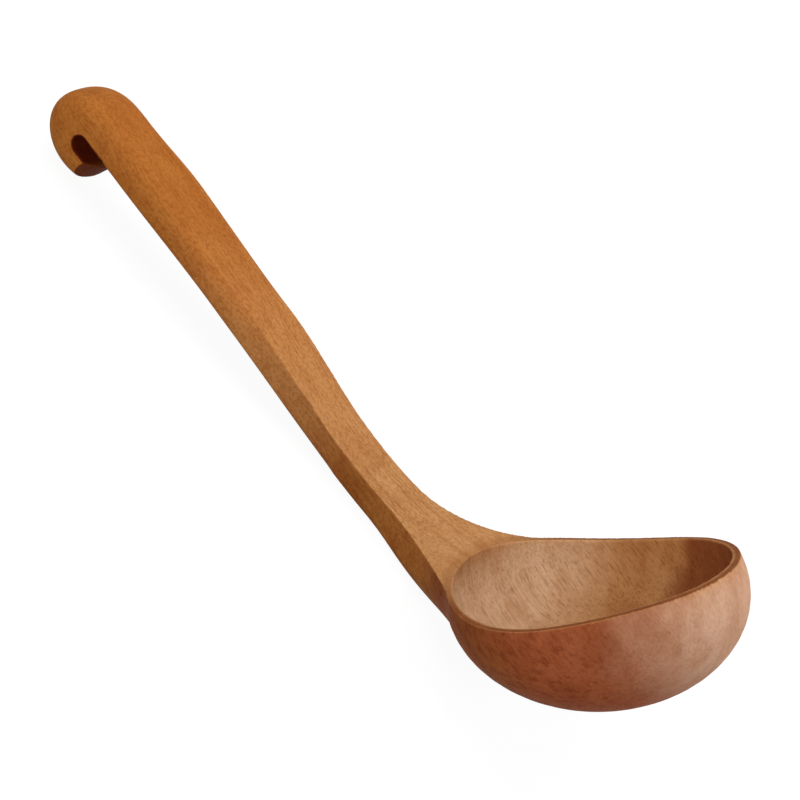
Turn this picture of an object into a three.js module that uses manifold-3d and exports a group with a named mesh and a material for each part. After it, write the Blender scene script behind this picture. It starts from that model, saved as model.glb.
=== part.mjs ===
import * as THREE from "three";
import { mergeVertices } from "three/addons/utils/BufferGeometryUtils.js";
import Module from "manifold-3d";

// A ladle carved from one billet, in millimetres.
// It is shaped with the bowl's centre at 0, x towards the bowl's tip, y across and z up the bowl's axis.
// At the end it is laid down on its back, the way it rests on a table.

const { clamp, degToRad, lerp, smoothstep } = THREE.MathUtils;

// Bowl: outside and hollow are two turned ovals, the hollow set a little higher and nearer the handle
const bowlRadius = 50;
const bowlBroad = 1.02;
const bowlDrop = 36.4;
const rimWall = 3.1;
const floorWall = 4.9;
const hollowRise = 2;
const hollowShift = 0.8;

// Line sawn across the rim and up the neck, seen from the side
const handleAngle = degToRad(48.7);
const neckLong = 50;
const footRise = 45;
const footPull = 93;
const tipRise = 15;
const tipAngle = degToRad(7.5);
const tipPull = 52;
const sawExit = degToRad(3);

// Plan of the neck and the handle
const waistHalf = 10;
const gripHalf = 14;
const flareRadius = 76;
const waistLong = 4;
const gripLong = 38;

// Thickness square to the handle, thinnest a little way up from the foot
const neckThick = 10.4;
const gripThick = 9.7;
const headThick = 13.4;
const gripRise = 1.4;
const thinReach = 45;

// Edges and the keel under the neck
const gripEdge = 6;
const lowEdge = 3;
const keelLong = 24;
const keelTurn = degToRad(40);
const heelPull = 42;
const keelPull = 16;
const keelRound = 0.62;

// The limb runs into the bowl and ends just inside its skin
const limbSink = 14;
const depthShare = 0.9;
const insideShare = 0.99;

// Crook at the head of the handle: an oval head with a slot sawn up behind the handle
const headAlong = 135;
const headReach = 19;
const headAcross = 15.2;
const headDrop = 1;
const headTilt = degToRad(8);
const headPower = 3;
const headEdge = 9.5;
const slotBack = 12.2;
const slotStep = 0.3;
const slotWide = 7;
const slotDeep = 1.7;
const slotLong = 30;
const tongueReach = 12;
const tongueRound = 22;
const tongueLean = degToRad(16);

// Blank that the cuts run through and past
const blankHalf = 75;
const blankHigh = 180;
const crookHalf = 20;

// Fineness of the curves
const roundSteps = 72;
const bowlSteps = 28;
const stationGap = 3;
const cornerSteps = 7;
const lineSteps = 48;

const wasm = await Module();
wasm.setup();

function solid(geometry) {
  const bare = geometry.clone();
  bare.deleteAttribute("normal");
  bare.deleteAttribute("uv");
  const merged = mergeVertices(bare, 1e-4);
  const vertProperties = new Float32Array(merged.attributes.position.array);
  const triVerts = new Uint32Array(merged.index.array);
  return new wasm.Manifold(new wasm.Mesh({ numProp: 3, vertProperties, triVerts }));
}

// Foot of the handle, where the neck's curve begins, and places counted from it and from the bowl
const foot = new THREE.Vector2(-bowlRadius - neckLong, footRise);
const waistEnd = foot.x - waistLong;
const gripStart = waistEnd - gripLong;
const keelStart = -bowlRadius - keelLong;
const limbEnd = limbSink - bowlRadius;

// Handle directions in the side view: up along it, and square to it towards its top face
const along = new THREE.Vector2(-Math.cos(handleAngle), Math.sin(handleAngle));
const square = new THREE.Vector2(Math.sin(handleAngle), Math.cos(handleAngle));

function onHandle(reach, rise) {
  return foot.clone().addScaledVector(along, reach).addScaledVector(square, rise);
}

// Side lines of the neck: the sawn top and the keel, which leaves the bowl's back without a corner
const tip = new THREE.Vector2(bowlRadius, tipRise);
const tipWay = new THREE.Vector2(Math.cos(tipAngle), Math.sin(tipAngle));
const sawLine = new THREE.CubicBezierCurve(
  foot,
  onHandle(-footPull, 0),
  tip.clone().addScaledVector(tipWay, -tipPull),
  tip,
);
const heel = onHandle(0, -neckThick);
const keelEnd = new THREE.Vector2(-bowlRadius * Math.cos(keelTurn), -bowlDrop * Math.sin(keelTurn));
const keelWay = new THREE.Vector2(bowlRadius * Math.sin(keelTurn), -bowlDrop * Math.cos(keelTurn));
keelWay.normalize();
const keelLine = new THREE.CubicBezierCurve(
  heel,
  onHandle(-heelPull, -neckThick),
  keelEnd.clone().addScaledVector(keelWay, -keelPull),
  keelEnd,
);

function heightOn(curve, x) {
  let low = 0;
  let high = 1;
  for (let step = 0; step < 40; step += 1) {
    const middle = (low + high) / 2;
    if (curve.getPoint(middle).x < x) low = middle;
    else high = middle;
  }
  return curve.getPoint(low).y;
}

function handleLine(x, rise) {
  return foot.y + (foot.x - x) * Math.tan(handleAngle) + rise / Math.cos(handleAngle);
}

// How far a place on the handle is from the waist (0) to the grip (1)
function gripShare(x) {
  return smoothstep(waistEnd - x, 0, waistEnd - gripStart);
}

// How far a place on the handle is from the end of the grip (0) to the head (1), where its top sinks a little
function headShare(x) {
  return smoothstep((foot.x - x) / Math.cos(handleAngle), headAlong - 2 * headReach, headAlong);
}

function topHeight(x) {
  const waistTop = gripEdge / Math.cos(handleAngle);
  const gripTop = (gripRise - headDrop * headShare(x)) / Math.cos(handleAngle);
  const lift = lerp(waistTop, gripTop, gripShare(x));
  return (x < foot.x ? handleLine(x, 0) : heightOn(sawLine, x)) + lift;
}

function backHeight(x) {
  if (x > heel.x) return x < keelEnd.x ? heightOn(keelLine, x) : keelEnd.y;
  const reach = (heel.x - x) / Math.cos(handleAngle);
  const thin = lerp(neckThick, gripThick - gripRise, smoothstep(reach, 0, thinReach));
  const thick = (headThick - gripThick) * smoothstep(reach, thinReach, headAlong);
  return handleLine(x, -thin - thick);
}

// Half width of the neck and the handle
// Near the bowl it follows an arc that meets the bowl's side at each height
function halfWidth(x, z) {
  const depth = clamp(z / bowlDrop, -depthShare, depthShare);
  const level = bowlRadius * Math.sqrt(1 - depth ** 2);
  const arcY = waistHalf + flareRadius;
  const arcX = -Math.sqrt((level + flareRadius) ** 2 - arcY ** 2);
  const touch = (arcX * level) / (level + flareRadius);
  if (x < arcX) return lerp(waistHalf, gripHalf, gripShare(x));
  if (x < touch) return arcY - Math.sqrt(flareRadius ** 2 - (x - arcX) ** 2);
  return Math.sqrt(level ** 2 - x ** 2) * insideShare;
}

// One upright section through the limb: soft corners at the handle, a full keel at the bowl
function section(x) {
  const top = topHeight(x);
  const back = backHeight(x);
  const keel = smoothstep(x, keelStart, keelEnd.x);
  const soft = lerp(gripEdge, headEdge, headShare(x));
  const lean = x < foot.x ? Math.cos(handleAngle) : 1;
  const lowWide = lerp(lowEdge, halfWidth(x, back) * keelRound, keel);
  const lowHigh = lerp(lowEdge / lean, (top - back) * keelRound, keel);
  const half = [];
  for (let step = 0; step <= cornerSteps; step += 1) {
    const turn = (Math.PI / 2) * (step / cornerSteps);
    const z = top - (soft / lean) * (1 - Math.cos(turn));
    half.push([halfWidth(x, z) - soft * (1 - Math.sin(turn)), z]);
  }
  for (let step = 0; step <= cornerSteps; step += 1) {
    const turn = (Math.PI / 2) * (step / cornerSteps);
    const z = back + lowHigh * (1 - Math.sin(turn));
    half.push([halfWidth(x, z) - lowWide * (1 - Math.cos(turn)), z]);
  }
  const mirrored = half.map(([y, z]) => [-y, z]).reverse();
  return [...half, ...mirrored].map(([y, z]) => new THREE.Vector3(x, y, z));
}

// A closed skin through rings of equal count, capped flat at both ends
function loft(rings) {
  const count = rings[0].length;
  const points = rings.flat();
  const index = [];
  for (let ring = 0; ring + 1 < rings.length; ring += 1) {
    for (let k = 0; k < count; k += 1) {
      const a = ring * count + k;
      const b = ring * count + ((k + 1) % count);
      index.push(a, a + count, b, b, a + count, b + count);
    }
  }
  for (let k = 1; k + 1 < count; k += 1) {
    const last = (rings.length - 1) * count;
    index.push(0, k, k + 1);
    index.push(last, last + k + 1, last + k);
  }
  return new THREE.BufferGeometry().setFromPoints(points).setIndex(index);
}

function limb() {
  const start = onHandle(headAlong, 0).x;
  const stations = Math.ceil((limbEnd - start) / stationGap);
  const rings = [];
  for (let k = 0; k <= stations; k += 1) {
    rings.push(section(lerp(start, limbEnd, k / stations)));
  }
  return solid(loft(rings));
}

function turnedOval(radius, drop) {
  const line = [];
  for (let k = 0; k <= bowlSteps; k += 1) {
    const turn = Math.PI * (k / bowlSteps - 0.5);
    line.push(new THREE.Vector2(k % bowlSteps ? radius * Math.cos(turn) : 0, drop * Math.sin(turn)));
  }
  return new THREE.LatheGeometry(line, roundSteps).rotateX(Math.PI / 2).scale(1, bowlBroad, 1);
}

// Everything above the sawn line, wider than the bowl
function sawCut() {
  const exit = sawExit + handleAngle;
  const start = new THREE.Vector2(foot.x - blankHigh / Math.tan(exit), foot.y + blankHigh);
  const shape = new THREE.Shape();
  shape.moveTo(start.x, start.y);
  for (const point of sawLine.getPoints(lineSteps)) {
    shape.lineTo(point.x, point.y);
  }
  shape.lineTo(tip.x + tipPull * tipWay.x, tip.y + tipPull * tipWay.y);
  shape.lineTo(tip.x + tipPull * tipWay.x, start.y);
  return across(shape, blankHalf);
}

// A side shape pushed through the work from -half to +half in y
function across(shape, half) {
  const geometry = new THREE.ExtrudeGeometry(shape, { depth: 2 * half, bevelEnabled: false });
  return solid(geometry.rotateX(Math.PI / 2).translate(0, half, 0));
}

// A full round knob on its side, flattened a little towards its ends
function head() {
  const line = [];
  for (let k = 0; k <= bowlSteps; k += 1) {
    const turn = Math.PI * (k / bowlSteps - 0.5);
    const round = Math.abs(Math.cos(turn)) ** (2 / headPower);
    const level = Math.sign(turn) * Math.abs(Math.sin(turn)) ** (2 / headPower);
    line.push(new THREE.Vector2(k % bowlSteps ? headAcross * round : 0, gripHalf * level));
  }
  const centre = onHandle(headAlong, gripRise - headDrop - headAcross);
  const knob = new THREE.LatheGeometry(line, roundSteps);
  knob.scale(headReach / headAcross, 1, 1).rotateY(handleAngle - headTilt);
  return solid(knob.translate(centre.x, 0, centre.y));
}

// Slot behind the handle, round at its closed end. Its mouth opens along the handle's back.
function slot() {
  const shut = gripRise - slotBack;
  const mouth = gripRise - headThick - slotStep;
  const radius = slotWide / 2;
  const end = headAlong - slotLong;
  const path = [onHandle(end, mouth)];
  for (let k = 0; k <= cornerSteps * 2; k += 1) {
    const turn = Math.PI * (k / (cornerSteps * 2));
    const reach = headAlong + slotDeep - radius + radius * Math.sin(turn);
    path.push(onHandle(reach, shut - radius + radius * Math.cos(turn)));
  }
  path.push(onHandle(end, shut - slotWide));
  return across(new THREE.Shape(path), crookHalf);
}

// Rounded end of the tongue behind the handle. The cut leans up the crook towards its back.
function tongueEnd() {
  const line = [];
  for (let k = 0; k <= cornerSteps * 2; k += 1) {
    const y = lerp(-crookHalf, crookHalf, k / (cornerSteps * 2));
    const sweep = y ** 2 / (2 * tongueRound);
    line.push(new THREE.Vector2(headAlong - tongueReach + sweep, y));
  }
  line.push(new THREE.Vector2(headAlong - slotLong, crookHalf));
  line.push(new THREE.Vector2(headAlong - slotLong, -crookHalf));
  const depth = headAcross * 2;
  const geometry = new THREE.ExtrudeGeometry(new THREE.Shape(line), { depth, bevelEnabled: false });
  const top = gripRise - headThick - slotWide / 2;
  const lean = along.clone().multiplyScalar(Math.tan(tongueLean)).sub(square);
  const way = new THREE.Matrix4().makeBasis(
    new THREE.Vector3(along.x, 0, along.y),
    new THREE.Vector3(0, 1, 0),
    new THREE.Vector3(lean.x, 0, lean.y),
  );
  const start = onHandle(0, top);
  way.setPosition(start.x, 0, start.y);
  geometry.applyMatrix4(way);
  return solid(geometry);
}

const outside = solid(turnedOval(bowlRadius, bowlDrop));
const hollowDrop = bowlDrop + hollowRise - floorWall;
const hollowOval = turnedOval(bowlRadius - rimWall, hollowDrop);
const hollow = solid(hollowOval.translate(-hollowShift, 0, hollowRise));
const crook = head().subtract(tongueEnd());
const carved = limb().add(outside).add(crook).subtract(slot()).subtract(sawCut()).subtract(hollow);

// Laying down: the longest straight edge round the back of the side view goes on the table
function backEdge(points) {
  const sorted = [...points].sort((a, b) => a.x - b.x || a.y - b.y);
  const chain = [];
  for (const point of sorted) {
    while (chain.length > 1) {
      const [a, b] = chain.slice(-2);
      const turn = (b.x - a.x) * (point.y - a.y) - (b.y - a.y) * (point.x - a.x);
      if (turn > 0) break;
      chain.pop();
    }
    chain.push(point);
  }
  let best = chain[1].clone().sub(chain[0]);
  for (let k = 1; k + 1 < chain.length; k += 1) {
    const edge = chain[k + 1].clone().sub(chain[k]);
    if (edge.length() > best.length()) best = edge;
  }
  return best;
}

const made = carved.getMesh();
const geometry = new THREE.BufferGeometry();
geometry.setAttribute("position", new THREE.BufferAttribute(made.vertProperties, 3));
geometry.setIndex(new THREE.BufferAttribute(made.triVerts, 1));
const sideView = [];
for (let k = 0; k < made.vertProperties.length; k += 3) {
  sideView.push(new THREE.Vector2(made.vertProperties[k], made.vertProperties[k + 2]));
}
const edge = backEdge(sideView);
geometry.rotateY(Math.atan2(edge.y, edge.x));
geometry.computeBoundingBox();
const box = geometry.boundingBox;
geometry.translate(-(box.min.x + box.max.x) / 2, -(box.min.y + box.max.y) / 2, -box.min.z);
geometry.computeVertexNormals();

const wood = new THREE.MeshStandardMaterial({ color: 0xb07a48, roughness: 0.5, metalness: 0 });
const ladle = new THREE.Mesh(geometry, wood);
ladle.name = "ladle";

const group = new THREE.Group();
group.add(ladle);
export default group;
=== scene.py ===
import math
from types import SimpleNamespace

import bmesh
import bpy
from mathutils import Matrix, Vector


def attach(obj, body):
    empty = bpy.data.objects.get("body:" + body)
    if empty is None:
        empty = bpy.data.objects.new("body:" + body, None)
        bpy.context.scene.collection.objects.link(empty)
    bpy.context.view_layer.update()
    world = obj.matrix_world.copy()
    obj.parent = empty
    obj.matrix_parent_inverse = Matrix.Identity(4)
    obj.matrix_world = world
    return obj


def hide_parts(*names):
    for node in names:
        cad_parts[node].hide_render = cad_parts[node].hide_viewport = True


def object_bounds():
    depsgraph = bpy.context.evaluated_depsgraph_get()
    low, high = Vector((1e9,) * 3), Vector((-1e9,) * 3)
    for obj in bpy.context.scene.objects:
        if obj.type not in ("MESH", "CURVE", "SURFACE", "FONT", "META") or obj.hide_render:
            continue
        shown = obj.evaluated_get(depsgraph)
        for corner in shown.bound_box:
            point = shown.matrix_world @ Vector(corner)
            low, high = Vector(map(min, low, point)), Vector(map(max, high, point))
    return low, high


# A ladle carved from one billet of oiled hardwood, lying on its back on a white table.
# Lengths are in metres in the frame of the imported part: x from the crook to the bowl's tip, z up.

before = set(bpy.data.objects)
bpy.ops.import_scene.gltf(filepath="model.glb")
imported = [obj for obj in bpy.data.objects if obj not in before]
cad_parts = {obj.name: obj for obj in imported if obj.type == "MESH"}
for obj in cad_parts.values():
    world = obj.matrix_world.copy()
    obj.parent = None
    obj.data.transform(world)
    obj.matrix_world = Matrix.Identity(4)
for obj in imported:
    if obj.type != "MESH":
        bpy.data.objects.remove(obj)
cad_low, cad_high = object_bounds()

MM = 0.001

# How the carving is fined down: the skin's step, the sanding, and the edges that the sanding leaves
MERGE_WITHIN = 0.001 * MM
FINE_STEP = 0.42 * MM
FIRST_ROUNDS = 3
SANDING_ROUNDS = 12
EDGE_TURN = math.radians(28)
EDGE_KEEP = 0.9 * MM
MOST_TRIANGLES = 190000

# The bowl's turned outside: its middle, the lean of its axis towards the handle, and its half sizes
BOWL_MIDDLE = Vector((107.5, 0.0, 45.2)) * MM
BOWL_LEAN = math.radians(41.4)
BOWL_HALVES = Vector((50.0, 51.0, 36.4)) * MM

# The wood's fibres run along the handle, which climbs a little towards the crook
FIBRE_CLIMB = math.radians(7.3)

# The slot under the crook: middle of its round closed end, its round, and how far ahead its mouth is
SLOT_MIDDLE = Vector((-131.2, 0.0, 15.5)) * MM
SLOT_ROUND = 3.6 * MM
SLOT_MOUTH = 7 * MM

# The crook's shoulders, rubbed softer: where that starts along the handle, over which length it fades,
# how high over the slot's middle it starts and is full, and the shares that rub off an edge or count at all
SHOULDER_START = -92 * MM
SHOULDER_FADE = 22 * MM
SHOULDER_PAST = 1.5 * MM
SHOULDER_OVER = 5.2 * MM
SHOULDER_ROUNDS = 90
SHOULDER_NO_EDGE = 0.1
SHOULDER_LEAST = 0.001

# Camera of the photograph: how it is turned, where it stands from the ladle's middle, and its lens
CAMERA_TURN = math.radians(14.55)
CAMERA_LIFT = math.radians(34.06)
CAMERA_ROLL = math.radians(40.38)
CAMERA_AWAY = 887.9 * MM
CAMERA_ASIDE = 28.6 * MM
CAMERA_ABOVE = 13.16 * MM
PICTURE_SIDE = 800
FOCUS_PIXELS = 2548.8
SENSOR_WIDE = 36.0

# Table and room: the table's size and its gap under the ladle, its grey in the light, its white as seen,
# and the room's own light
TABLE_SIDE = 40.0
TABLE_GAP = 0.2 * MM
TABLE_GREY = 0.12
TABLE_WHITE = 0.93
ROOM_LIGHT = 0.06


def srgb(red, green, blue):
    """A colour as a painter reads it off a chart, turned into the light that a render mixes."""
    def light(value):
        share = value / 255
        return share / 12.92 if share <= 0.04045 else ((share + 0.055) / 1.055) ** 2.4
    return (light(red), light(green), light(blue), 1.0)


def darkening(red, green, blue):
    """How much of each light is left where the colour is darker, by a stain or by painted shade."""
    return (red, green, blue, 1.0)


# The wood's colours from the handle to the bowl, some of them holding painted light
HANDLE_GOLD = srgb(190, 118, 51)
NECK_BLOND = srgb(210, 156, 102)
# The hollow's near end: paler wood, with painted light on the wall that faces the light
HOLLOW_PALE_AND_LIT = srgb(236, 197, 160)
# A painted highlight along the hollow's edge at the neck
HOLLOW_EDGE_HIGHLIGHT = srgb(238, 200, 160)
OUTSIDE_BROWN = srgb(144, 80, 38)
OUTSIDE_RED = srgb(176, 98, 61)
# The outside's tip: paler wood with painted sheen on it
PALE_TIP_AND_SHEEN = srgb(222, 178, 149)

# Darkenings by place, some of them painted shade, and then stains by grain from the broad to the fine
HOLLOW_STAIN = darkening(0.88, 0.86, 0.84)
# Painted shade on the neck's sides, which face down and away from the light
NECK_SIDE_SHADE = darkening(0.62, 0.46, 0.27)
# Painted shade on the hollow's far wall, towards the tip, which faces away from the light
FAR_WALL_SHADE = darkening(0.56, 0.37, 0.33)
# A darker line along the rim's top
RIM_DARK = darkening(0.42, 0.28, 0.22)
# Painted shade inside the crook's slot
SLOT_SHADE = darkening(0.27, 0.09, 0.06)
PATCH_STAIN = darkening(0.88, 0.76, 0.7)
BAND_STAIN = darkening(0.82, 0.72, 0.6)
RING_STAIN = darkening(0.84, 0.72, 0.62)
BLOTCH_STAIN = darkening(0.8, 0.68, 0.58)
FIBRE_STAIN = darkening(0.78, 0.68, 0.58)
FLECK_STAIN = darkening(0.7, 0.58, 0.52)
LINE_STAIN = darkening(0.72, 0.58, 0.44)
SPECK_STAIN = darkening(0.73, 0.62, 0.51)
PORE_STAIN = darkening(0.58, 0.46, 0.36)

# The dull oil finish: gloss, roughness, and how deep the fibres and pores are felt
OIL_GLOSS = 0.06
ROUGH_LEAST = 0.58
ROUGH_MOST = 0.78
FELT_STRENGTH = 0.12
FELT_DEPTH = 0.15 * MM

# How far grown wood's grain sways from straight
SWAY = 6 * MM


# Selecting and applying


def take(piece):
    bpy.ops.object.select_all(action="DESELECT")
    piece.select_set(True)
    bpy.context.view_layer.objects.active = piece


def apply_all(piece):
    take(piece)
    for modifier in list(piece.modifiers):
        bpy.ops.object.modifier_apply(modifier=modifier.name)


# The ladle


def share_of(value, low, high):
    """0 under low, 1 over high, straight between."""
    return min(max((value - low) / (high - low), 0.0), 1.0)


def shoulder_share(spot):
    """How much of the rubbing a place gets: 1 on the crook's shoulders, fading along the handle, else 0."""
    from_slot = spot - SLOT_MIDDLE
    over = from_slot.z * math.cos(FIBRE_CLIMB) + from_slot.x * math.sin(FIBRE_CLIMB)
    ahead = from_slot.x * math.cos(FIBRE_CLIMB) - from_slot.z * math.sin(FIBRE_CLIMB)
    along = share_of(SHOULDER_START - spot.x, 0.0, SHOULDER_FADE)
    past = share_of(ahead, SLOT_MOUTH, SLOT_MOUTH + SHOULDER_FADE)
    high = share_of(over, SHOULDER_PAST, SHOULDER_OVER)
    return along ** 3 * (1.0 if high == 1.0 else high * past)


def knife_edges(cad):
    """The edges the knife left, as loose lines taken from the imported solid."""
    lines = bpy.data.objects.new("knife_edges", cad.copy())
    bpy.context.scene.collection.objects.link(lines)
    shape = bmesh.new()
    shape.from_mesh(lines.data)
    bmesh.ops.remove_doubles(shape, verts=shape.verts, dist=MERGE_WITHIN)
    soft = [edge for edge in shape.edges if edge.calc_face_angle(0.0) < EDGE_TURN
            or shoulder_share((edge.verts[0].co + edge.verts[1].co) / 2) > SHOULDER_NO_EDGE]
    bmesh.ops.delete(shape, geom=shape.faces[:], context="FACES_ONLY")
    bmesh.ops.delete(shape, geom=soft, context="EDGES")
    shape.to_mesh(lines.data)
    shape.free()
    return lines


def sand(piece, name, rounds, group=""):
    sanding = piece.modifiers.new(name, "SMOOTH")
    sanding.factor = 0.5
    sanding.iterations = rounds
    sanding.vertex_group = group


def carve_ladle():
    """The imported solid's shape with a fine skin, sanded all over but for the knife's edges."""
    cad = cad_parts["ladle"].data
    piece = bpy.data.objects.new("carved_ladle", cad.copy())
    bpy.context.scene.collection.objects.link(piece)
    take(piece)
    bpy.ops.object.mode_set(mode="EDIT")
    bpy.ops.mesh.select_all(action="SELECT")
    bpy.ops.mesh.remove_doubles(threshold=MERGE_WITHIN)
    bpy.ops.object.mode_set(mode="OBJECT")
    fine = piece.modifiers.new("fine_skin", "REMESH")
    fine.mode = "VOXEL"
    fine.voxel_size = FINE_STEP
    fine.adaptivity = 0.0
    apply_all(piece)

    lines = knife_edges(cad)
    group = piece.vertex_groups.new(name="sanded")
    group.add(range(len(piece.data.vertices)), 1.0, "REPLACE")
    eased = piece.modifiers.new("eased_at_edges", "VERTEX_WEIGHT_PROXIMITY")
    eased.vertex_group = "sanded"
    eased.target = lines
    eased.proximity_mode = "GEOMETRY"
    eased.proximity_geometry = {"EDGE"}
    eased.min_dist = EDGE_KEEP
    eased.max_dist = 2 * EDGE_KEEP
    sand(piece, "first_sanding", FIRST_ROUNDS)
    sand(piece, "sanding", SANDING_ROUNDS, "sanded")
    apply_all(piece)
    bpy.data.objects.remove(lines)

    shoulder = piece.vertex_groups.new(name="shoulder")
    for spot in piece.data.vertices:
        share = shoulder_share(spot.co)
        if share > SHOULDER_LEAST:
            shoulder.add([spot.index], share, "REPLACE")
    sand(piece, "rubbed_shoulder", SHOULDER_ROUNDS, "shoulder")
    apply_all(piece)

    piece.vertex_groups.clear()
    lighter = piece.modifiers.new("lighter_skin", "DECIMATE")
    lighter.ratio = MOST_TRIANGLES / (2 * len(piece.data.polygons))
    apply_all(piece)
    bpy.ops.object.shade_smooth()
    return piece


# Wood


def add(tree, kind, inputs=None, **settings):
    """A node with its settings. An input given by name or number takes a value, or a link from a socket."""
    made = tree.nodes.new(kind)
    for name, value in settings.items():
        setattr(made, name, value)
    for name, value in (inputs or {}).items():
        if isinstance(value, bpy.types.NodeSocket):
            tree.links.new(value, made.inputs[name])
        else:
            made.inputs[name].default_value = value
    return made


def reckon(tree, operation, *values):
    return add(tree, "ShaderNodeMath", dict(enumerate(values)), operation=operation).outputs[0]


def times(tree, *shares):
    product = shares[0]
    for share in shares[1:]:
        product = reckon(tree, "MULTIPLY", product, share)
    return product


def ramp(tree, value, low, high):
    """0 under low, 1 over high, smooth between. With low over high it falls instead."""
    made = add(tree, "ShaderNodeMapRange", {"Value": value, "From Min": low, "From Max": high},
               interpolation_type="SMOOTHSTEP")
    return made.outputs["Result"]


def band(tree, value, rise, fall):
    """1 between two ramps, the first going up and the second down again."""
    return reckon(tree, "SUBTRACT", ramp(tree, value, *rise), ramp(tree, value, *fall))


def apart(tree, place):
    made = add(tree, "ShaderNodeSeparateXYZ", {0: place})
    return made.outputs["X"], made.outputs["Y"], made.outputs["Z"]


def towards(tree, normal, way):
    """How far a surface looks the given way, from 1 to -1."""
    return add(tree, "ShaderNodeVectorMath", {0: normal, 1: way}, operation="DOT_PRODUCT").outputs["Value"]


def length(tree, place):
    return add(tree, "ShaderNodeVectorMath", {0: place}, operation="LENGTH").outputs["Value"]


def noise(tree, place, stretch, detail):
    """Cloudy pattern with the given number of swells along x, y and z in one unit of the place."""
    scaled = add(tree, "ShaderNodeVectorMath", {0: place, 1: stretch}, operation="MULTIPLY")
    return add(tree, "ShaderNodeTexNoise", {"Vector": scaled.outputs[0], "Scale": 1.0, "Detail": detail})


def cloud(tree, place, stretch, detail):
    return noise(tree, place, stretch, detail).outputs["Fac"]


def mix(tree, share, first, second, blend="MIX"):
    made = add(tree, "ShaderNodeMix", {0: share, 6: first, 7: second}, data_type="RGBA", blend_type=blend)
    return made.outputs[2]


def tint(tree, share, strength, colour, darker):
    """Colour made darker where the share is 1, times a strength."""
    return mix(tree, times(tree, share, strength), colour, darker, "MULTIPLY")


def slot_shade_share(tree, place, normal):
    """1 on the walls of the crook's slot, less on the tongue's end: both get painted shade, as the slot is
    deep. 0 elsewhere.
    """
    inside = add(tree, "ShaderNodeMapping", {
        "Vector": place, "Location": SLOT_MIDDLE, "Rotation": (0.0, FIBRE_CLIMB, 0.0),
    }, vector_type="TEXTURE")
    ahead, _, rise = apart(tree, inside.outputs["Vector"])
    round_end = add(tree, "ShaderNodeCombineXYZ", {"X": reckon(tree, "MINIMUM", ahead, 0.0), "Z": rise})
    walls = times(
        tree,
        ramp(tree, length(tree, round_end.outputs[0]), SLOT_ROUND + 0.6 * MM, SLOT_ROUND),
        ramp(tree, ahead, 13 * MM, 5 * MM),
    )
    forward = towards(tree, normal, (math.cos(FIBRE_CLIMB), 0.0, -math.sin(FIBRE_CLIMB)))
    tongue_end = times(
        tree,
        ramp(tree, forward, 0.4, 0.7),
        ramp(tree, rise, -1 * MM, -3 * MM),
        ramp(tree, ahead, 22 * MM, 14 * MM),
        0.85,
    )
    return reckon(tree, "MAXIMUM", walls, tongue_end)


def wood_grain(tree, place):
    """Patterns of the grain, laid along the handle, straight or with the sway of grown wood."""
    straight = add(tree, "ShaderNodeMapping", {
        "Vector": place, "Rotation": (0.0, -FIBRE_CLIMB, 0.0),
    }).outputs["Vector"]
    wander = noise(tree, straight, (14, 40, 40), 2).outputs["Color"]
    swayed = add(tree, "ShaderNodeVectorMath", {0: wander, 1: (0.0, SWAY, SWAY), 2: straight},
                 operation="MULTIPLY_ADD").outputs[0]
    return SimpleNamespace(
        patches=cloud(tree, straight, (30, 45, 45), 3),
        bands=cloud(tree, swayed, (5, 130, 110), 3),
        blotches=cloud(tree, straight, (110, 190, 190), 3),
        lines=cloud(tree, swayed, (10, 480, 90), 3),
        fibres=cloud(tree, swayed, (40, 1300, 1300), 3),
        flecks=cloud(tree, swayed, (260, 480, 480), 3),
        specks=cloud(tree, straight, (750, 1050, 1050), 3),
        pores=cloud(tree, swayed, (130, 1900, 1900), 2),
    )


def ladle_zones(tree, place, normal, patches):
    """Shares that are 1 on one part of the ladle and 0 elsewhere, with the measures that the colours follow.

    Reach is 1 on the bowl's turned outside, and tipward grows to the bowl's tip, unevenly, with the grain's
    patches.
    """
    turned = add(tree, "ShaderNodeMapping", {
        "Vector": place, "Location": BOWL_MIDDLE, "Rotation": (0.0, -BOWL_LEAN, 0.0), "Scale": BOWL_HALVES,
    }, vector_type="TEXTURE").outputs["Vector"]
    reach = length(tree, turned)
    along = apart(tree, place)[0]
    facing = towards(tree, normal, (-math.sin(BOWL_LEAN), 0.0, math.cos(BOWL_LEAN)))
    below = ramp(tree, facing, 0.75, 0.3)
    return SimpleNamespace(
        reach=reach,
        tipward=reckon(tree, "ADD", apart(tree, turned)[0], times(tree, patches, 0.5)),
        rings=cloud(tree, turned, (5, 0.7, 0.7), 2),
        near_bowl=ramp(tree, along, -100 * MM, 50 * MM),
        neck=band(tree, along, (0.0, 25 * MM), (62 * MM, 80 * MM)),
        # The neck's sides facing down, where painted shade goes
        shaded_neck_sides=times(tree, band(tree, reach, (1.0, 1.2), (1.8, 3.4)), below),
        outside=times(tree, band(tree, reach, (0.96, 0.98), (1.04, 1.25)), below),
        hollow=reckon(tree, "SUBTRACT", 1.0, ramp(tree, reach, 0.94, 0.96)),
        # Where the painted highlight runs along the hollow's edge at the neck
        hollow_edge_highlight=times(tree, band(tree, reach, (0.925, 0.94), (0.945, 0.965)),
                          ramp(tree, along, 88 * MM, 74 * MM)),
        rim=times(tree, band(tree, reach, (0.945, 0.975), (1.01, 1.05)),
                  ramp(tree, facing, 0.5, 0.8), ramp(tree, along, 62 * MM, 85 * MM)),
        slot=slot_shade_share(tree, place, normal),
    )


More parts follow.
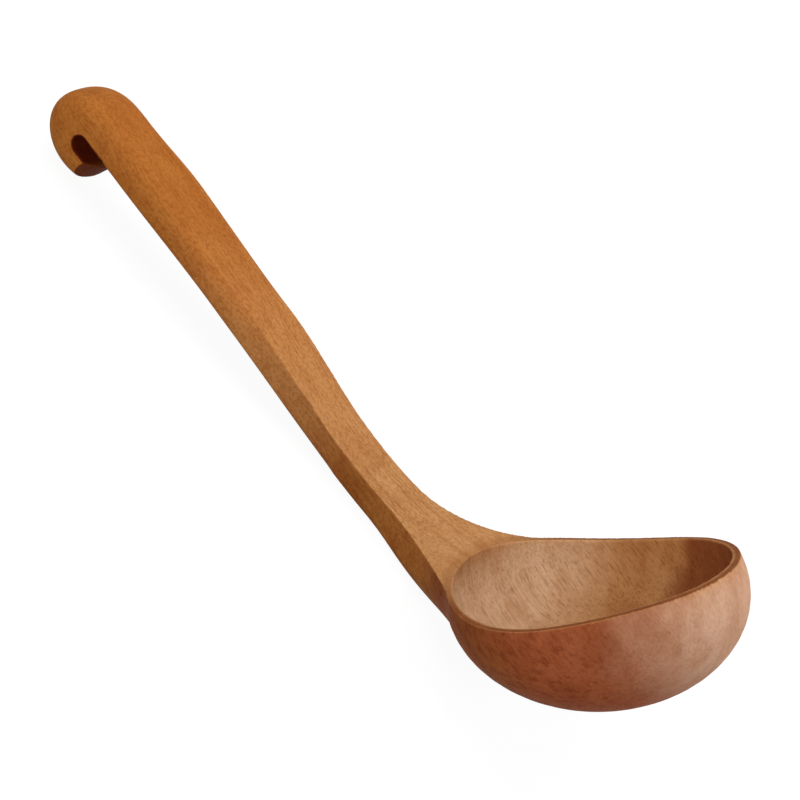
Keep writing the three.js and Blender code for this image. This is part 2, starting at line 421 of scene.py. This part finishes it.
def zone_colour(tree, zones):
    """Golden handle, paler neck, red-brown outside with a pale tip partly painted sheen, hollow from pale
    and partly painted light to painted shade on its far wall, painted shade on the neck's sides and in the
    slot, and a dark rim line.
    """
    colour = mix(tree, zones.near_bowl, HANDLE_GOLD, NECK_BLOND)
    colour = tint(tree, zones.hollow, 1.0, colour, HOLLOW_STAIN)
    # The hollow's near end: paler wood, with painted light on the wall that faces the light
    pale_and_lit = times(tree, zones.hollow, ramp(tree, zones.tipward, 0.0, -0.6), 0.9)
    colour = mix(tree, pale_and_lit, colour, HOLLOW_PALE_AND_LIT)
    # Painted shade on the neck's sides, which face down and away from the light
    colour = tint(tree, zones.shaded_neck_sides, 1.0, colour, NECK_SIDE_SHADE)
    # A painted highlight along the hollow's edge at the neck
    colour = mix(tree, times(tree, zones.hollow_edge_highlight, 0.6), colour, HOLLOW_EDGE_HIGHLIGHT)
    outside = mix(tree, ramp(tree, zones.tipward, -0.3, 0.55), OUTSIDE_BROWN, OUTSIDE_RED)
    # The outside's tip: paler wood with painted sheen on it
    outside = mix(tree, ramp(tree, zones.tipward, 0.68, 1.3), outside, PALE_TIP_AND_SHEEN)
    colour = mix(tree, zones.outside, colour, outside)
    # Painted shade on the hollow's far wall, which faces away from the light
    far_wall_shade = times(tree, zones.hollow, ramp(tree, zones.tipward, 0.33, 0.55))
    colour = tint(tree, far_wall_shade, 0.95, colour, FAR_WALL_SHADE)
    colour = tint(tree, zones.rim, 1.0, colour, RIM_DARK)
    # Painted shade inside the crook's slot
    return tint(tree, zones.slot, 1.0, colour, SLOT_SHADE)


def grained(tree, colour, grain, zones):
    """The colour with the grain over it, from the broad to the fine, fainter on the outside's tip under its
    painted sheen.
    """
    colour = tint(tree, ramp(tree, grain.patches, 0.4, 0.7), 0.3, colour, PATCH_STAIN)
    colour = tint(tree, ramp(tree, grain.bands, 0.42, 0.68), 0.5, colour, BAND_STAIN)
    ringed = times(tree, zones.near_bowl, ramp(tree, zones.rings, 0.42, 0.62))
    colour = tint(tree, ringed, 0.45, colour, RING_STAIN)
    colour = tint(tree, ramp(tree, grain.blotches, 0.45, 0.65), 0.35, colour, BLOTCH_STAIN)
    colour = tint(tree, ramp(tree, grain.fibres, 0.42, 0.7), 0.4, colour, FIBRE_STAIN)
    # The grain fades on the outside's tip under its painted sheen
    off_tip_sheen = reckon(tree, "SUBTRACT", 1.0, times(tree, zones.outside, ramp(tree, zones.tipward, 0.5, 1.2)))
    flecked = times(tree, zones.outside, ramp(tree, grain.flecks, 0.48, 0.66), off_tip_sheen)
    colour = tint(tree, flecked, 0.75, colour, FLECK_STAIN)
    lined = times(tree, zones.neck, ramp(tree, grain.lines, 0.5, 0.64))
    colour = tint(tree, lined, 0.45, colour, LINE_STAIN)
    half_off_tip_sheen = reckon(tree, "MULTIPLY_ADD", off_tip_sheen, 0.5, 0.5)
    off_floor = ramp(tree, zones.reach, 0.6, 1.3)
    speckled = times(tree, ramp(tree, grain.specks, 0.42, 0.66), off_floor, half_off_tip_sheen)
    colour = tint(tree, speckled, 0.7, colour, SPECK_STAIN)
    open_pores = reckon(tree, "MULTIPLY_ADD", zones.hollow, 0.3, 0.32)
    stroked = times(tree, open_pores, ramp(tree, grain.pores, 0.54, 0.68), half_off_tip_sheen)
    return tint(tree, stroked, 1.0, colour, PORE_STAIN)


def oiled_wood():
    material = bpy.data.materials.new("oiled_wood")
    material.use_nodes = True
    tree = material.node_tree
    shader = tree.nodes["Principled BSDF"]
    place = add(tree, "ShaderNodeTexCoord").outputs["Object"]
    normal = add(tree, "ShaderNodeNewGeometry").outputs["Normal"]
    grain = wood_grain(tree, place)
    zones = ladle_zones(tree, place, normal, grain.patches)
    colour = grained(tree, zone_colour(tree, zones), grain, zones)
    tree.links.new(colour, shader.inputs["Base Color"])
    rough = add(tree, "ShaderNodeMapRange", {
        "Value": grain.fibres, "To Min": ROUGH_LEAST, "To Max": ROUGH_MOST,
    })
    tree.links.new(rough.outputs["Result"], shader.inputs["Roughness"])
    shader.inputs["Specular IOR Level"].default_value = OIL_GLOSS
    height = reckon(tree, "SUBTRACT", grain.fibres, ramp(tree, grain.pores, 0.58, 0.75))
    felt = add(tree, "ShaderNodeBump", {"Height": height, "Strength": FELT_STRENGTH, "Distance": FELT_DEPTH})
    tree.links.new(felt.outputs["Normal"], shader.inputs["Normal"])
    return material


# Table, light and camera


def camera_axes():
    """Right, up and back of the camera as unit vectors of the part's frame."""
    back = Vector((
        math.sin(CAMERA_TURN) * math.cos(CAMERA_LIFT),
        -math.cos(CAMERA_TURN) * math.cos(CAMERA_LIFT),
        math.sin(CAMERA_LIFT),
    ))
    level = Vector((math.cos(CAMERA_TURN), math.sin(CAMERA_TURN), 0.0))
    steep = back.cross(level)
    right = math.cos(CAMERA_ROLL) * level + math.sin(CAMERA_ROLL) * steep
    up = math.cos(CAMERA_ROLL) * steep - math.sin(CAMERA_ROLL) * level
    return right, up, back


def set_camera():
    right, up, back = camera_axes()
    data = bpy.data.cameras.new("camera")
    data.sensor_width = SENSOR_WIDE
    data.lens = SENSOR_WIDE * FOCUS_PIXELS / PICTURE_SIDE
    camera = bpy.data.objects.new("camera", data)
    bpy.context.scene.collection.objects.link(camera)
    spot = back * CAMERA_AWAY + right * CAMERA_ASIDE + up * CAMERA_ABOVE
    turn = Matrix((right, up, back)).transposed().to_4x4()
    camera.matrix_world = Matrix.Translation(spot) @ turn
    bpy.context.scene.camera = camera


def softbox(name, aim, way, away, side, watts):
    """A square soft lamp that looks at a place from the given way."""
    data = bpy.data.lights.new(name, "AREA")
    data.shape = "SQUARE"
    data.size = side
    data.energy = watts
    lamp = bpy.data.objects.new(name, data)
    bpy.context.scene.collection.objects.link(lamp)
    way = way.normalized()
    lamp.location = aim + way * away
    lamp.rotation_euler = way.to_track_quat("Z", "Y").to_euler()


def seen_share(tree):
    """1 where the camera looks, straight, in a gloss or through glass, and 0 for the light on the object."""
    seen = add(tree, "ShaderNodeLightPath").outputs
    shown = reckon(tree, "MAXIMUM", seen["Is Camera Ray"], seen["Is Glossy Ray"])
    return reckon(tree, "MAXIMUM", shown, seen["Is Transmission Ray"])


def white_table():
    bpy.ops.object.select_all(action="DESELECT")
    bpy.ops.mesh.primitive_plane_add(size=TABLE_SIDE, location=(0.0, 0.0, cad_low.z - TABLE_GAP))
    table = bpy.context.active_object
    table.name = "table"
    bpy.ops.object.transform_apply(location=True, rotation=True, scale=True)
    material = bpy.data.materials.new("white_table")
    material.use_nodes = True
    tree = material.node_tree
    tree.nodes.clear()
    matt = add(tree, "ShaderNodeBsdfDiffuse", {"Color": (TABLE_GREY, TABLE_GREY, TABLE_GREY, 1.0)})
    glow = add(tree, "ShaderNodeEmission", {"Strength": times(tree, seen_share(tree), TABLE_WHITE)})
    both = add(tree, "ShaderNodeAddShader", {0: matt.outputs[0], 1: glow.outputs[0]})
    add(tree, "ShaderNodeOutputMaterial", {"Surface": both.outputs[0]})
    table.data.materials.append(material)


def set_light():
    right, up, back = camera_axes()
    middle = Vector((0.0, 0.0, 40 * MM))
    window = 0.7 * right + 0.65 * up + 0.05 * back
    softbox("window_softbox", BOWL_MIDDLE, window, away=0.8, side=0.5, watts=2.4)
    softbox("top_softbox", BOWL_MIDDLE, 0.95 * up + 0.2 * back, away=0.8, side=0.5, watts=2.6)
    softbox("right_softbox", BOWL_MIDDLE, 0.97 * right - 0.12 * up, away=0.8, side=0.5, watts=3.6)
    softbox("front_softbox", middle, back - 0.1 * up - 0.35 * right, away=1.3, side=0.8, watts=11.5)
    world = bpy.data.worlds.new("pale_room")
    bpy.context.scene.world = world
    world.use_nodes = True
    tree = world.node_tree
    room = tree.nodes["Background"]
    room.inputs["Color"].default_value = (1.0, 1.0, 1.0, 1.0)
    tree.links.new(reckon(tree, "MAXIMUM", seen_share(tree), ROOM_LIGHT), room.inputs["Strength"])


ladle = carve_ladle()
ladle.data.materials.clear()
ladle.data.materials.append(oiled_wood())
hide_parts("ladle")
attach(ladle, "root")

white_table()
set_light()
set_camera()
bpy.context.scene.view_settings.view_transform = "Standard"
